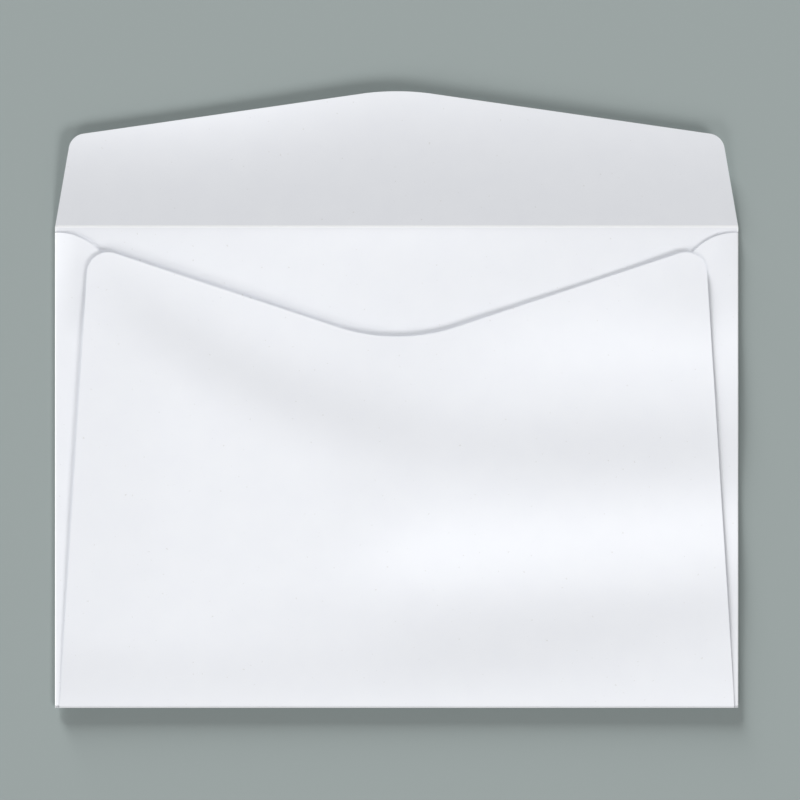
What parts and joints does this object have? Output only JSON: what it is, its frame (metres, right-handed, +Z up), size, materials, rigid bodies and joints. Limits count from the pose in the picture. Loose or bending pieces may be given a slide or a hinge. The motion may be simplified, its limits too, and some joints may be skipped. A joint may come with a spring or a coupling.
{
  "type": "paper envelope",
  "caption": "Empty side-seam paper envelope with a wide blunt flap, lying open on its front panel with the back panel and its V-shaped throat on top.",
  "frame": {"origin": "middle of the front panel's outer face, which lies on the table", "axes": "+X along the long side, +Y from the bottom fold towards the open flap, +Z up through the layers"},
  "size_m": [0.162, 0.1461, 0.0034],
  "materials": {
    "envelope_paper": "uncoated white offset paper, matte"
  },
  "bodies": {
    "root": {"envelope": "envelope_paper"}
  },
  "joints": []
}
